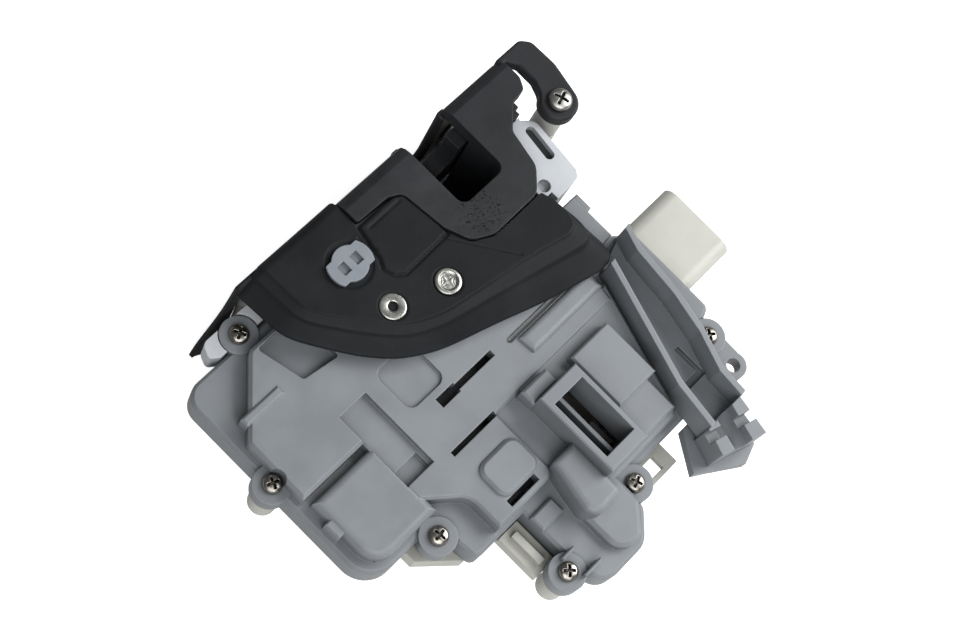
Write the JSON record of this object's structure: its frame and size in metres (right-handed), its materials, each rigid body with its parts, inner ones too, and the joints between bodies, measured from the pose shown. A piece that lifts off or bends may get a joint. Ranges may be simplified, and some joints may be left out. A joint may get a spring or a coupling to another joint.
{
  "type": "door latch actuator",
  "caption": "Vehicle door latch with electric lock drive: striker mouth with claw and pawl, ribbed grey cover, rubber edge seal, cable channel and plug socket.",
  "frame": {"origin": "on the flat back of the rear shell, in line with the middle of the cover", "axes": "+Z out of the cover's face, +Y towards the door's shut face and its striker mouth, +X towards the plug socket"},
  "size_m": [0.1579, 0.1362, 0.0522],
  "materials": {
    "grey_plastic": "fine moulded grain",
    "cream_plastic": "smooth moulded",
    "white_plastic": "smooth moulded",
    "black_plastic": "fine moulded grain",
    "black_rubber": "dull",
    "zinc_steel": "zinc plated",
    "bright_steel": "bright plated",
    "screw_steel": "dark nickel plated",
    "dark_steel": "black phosphated",
    "plug_plastic": "smooth moulded, pale blue grey",
    "contact_brass": "tinned",
    "gear_plastic": "smooth moulded"
  },
  "bodies": {
    "housing": {"rear_shell": "cream_plastic", "cover_shell": "grey_plastic", "gear_cover": "black_plastic", "connector_shroud": "cream_plastic", "connector_pins": "contact_brass", "lead_frame": "contact_brass", "motor": "zinc_steel", "wheel_pin": "bright_steel", "switch_body": "black_plastic", "cover_screws": "screw_steel", "cable_guide": "grey_plastic", "latch_plate": "zinc_steel", "latch_carrier": "white_plastic", "claw_pin": "bright_steel", "pawl_pin": "bright_steel", "claw_spring": "bright_steel", "pawl_spring": "bright_steel", "mouth_buffer": "black_rubber", "lever_bracket": "zinc_steel", "hollow_rivet": "bright_steel", "solid_rivet": "bright_steel", "striker_frame": "black_plastic", "frame_post": "cream_plastic", "frame_screw": "bright_steel", "edge_seal": "black_rubber", "seal_plug": "plug_plastic"},
    "claw_body": {"claw": "dark_steel", "claw_jacket": "black_plastic"},
    "pawl_body": {"pawl": "dark_steel"},
    "release_body": {"release_lever": "zinc_steel"},
    "outside_body": {"outside_lever": "zinc_steel"},
    "inside_body": {"inside_lever": "zinc_steel"},
    "wheel_body": {"worm_wheel": "gear_plastic"},
    "worm_body": {"worm": "black_plastic"},
    "slider_body": {"lock_slider": "gear_plastic"},
    "plunger_body": {"switch_plunger": "gear_plastic"}
  },
  "joints": [
    {"name": "claw_turn", "type": "hinge", "parent": "housing", "child": "claw_body", "pos_m": [0.0473, 0, 0.0275], "axis": [0, -1, 0], "range_deg": [0, 50]},
    {"name": "pawl_turn", "type": "hinge", "parent": "housing", "child": "pawl_body", "pos_m": [0.01, 0, 0.031], "axis": [0, -1, 0], "range_deg": [-3, 11]},
    {"name": "inside_lever_turn", "type": "hinge", "parent": "housing", "child": "inside_body", "pos_m": [0.0009, 0.0131, 0.04], "axis": [0, 0, 1], "range_deg": [-16, 0]},
    {"name": "release_lever_turn", "type": "hinge", "parent": "housing", "child": "release_body", "pos_m": [0.0009, 0.0131, 0.038], "axis": [0, 0, 1], "range_deg": [-16, 0]},
    {"name": "outside_lever_turn", "type": "hinge", "parent": "housing", "child": "outside_body", "pos_m": [-0.0159, 0.0184, 0.038], "axis": [0, 0, 1], "range_deg": [0, 12]},
    {"name": "wheel_turn", "type": "hinge", "parent": "housing", "child": "wheel_body", "pos_m": [-0.03, -0.01532, 0.015], "axis": [0, 0, 1], "range_deg": [0, 90]},
    {"name": "worm_turn", "type": "hinge", "parent": "housing", "child": "worm_body", "pos_m": [-0.03, 0.002, 0.015], "axis": [1, 0, 0], "range_deg": [0, 2700]},
    {"name": "slider_travel", "type": "slide", "parent": "housing", "child": "slider_body", "axis": [0, 1, 0], "range_m": [0, 0.008]},
    {"name": "plunger_press", "type": "slide", "parent": "housing", "child": "plunger_body", "axis": [0, 0, -1], "range_m": [0, 0.0012], "stiffness_N_per_m": 200}
  ],
  "couplings": [
    {"joint": "release_lever_turn", "follows": "inside_lever_turn", "ratio": 1},
    {"joint": "outside_lever_turn", "follows": "inside_lever_turn", "ratio": -0.6},
    {"joint": "worm_turn", "follows": "wheel_turn", "ratio": 30},
    {"joint": "slider_travel", "follows": "wheel_turn", "m_per_rad": 0.005093}
  ]
}
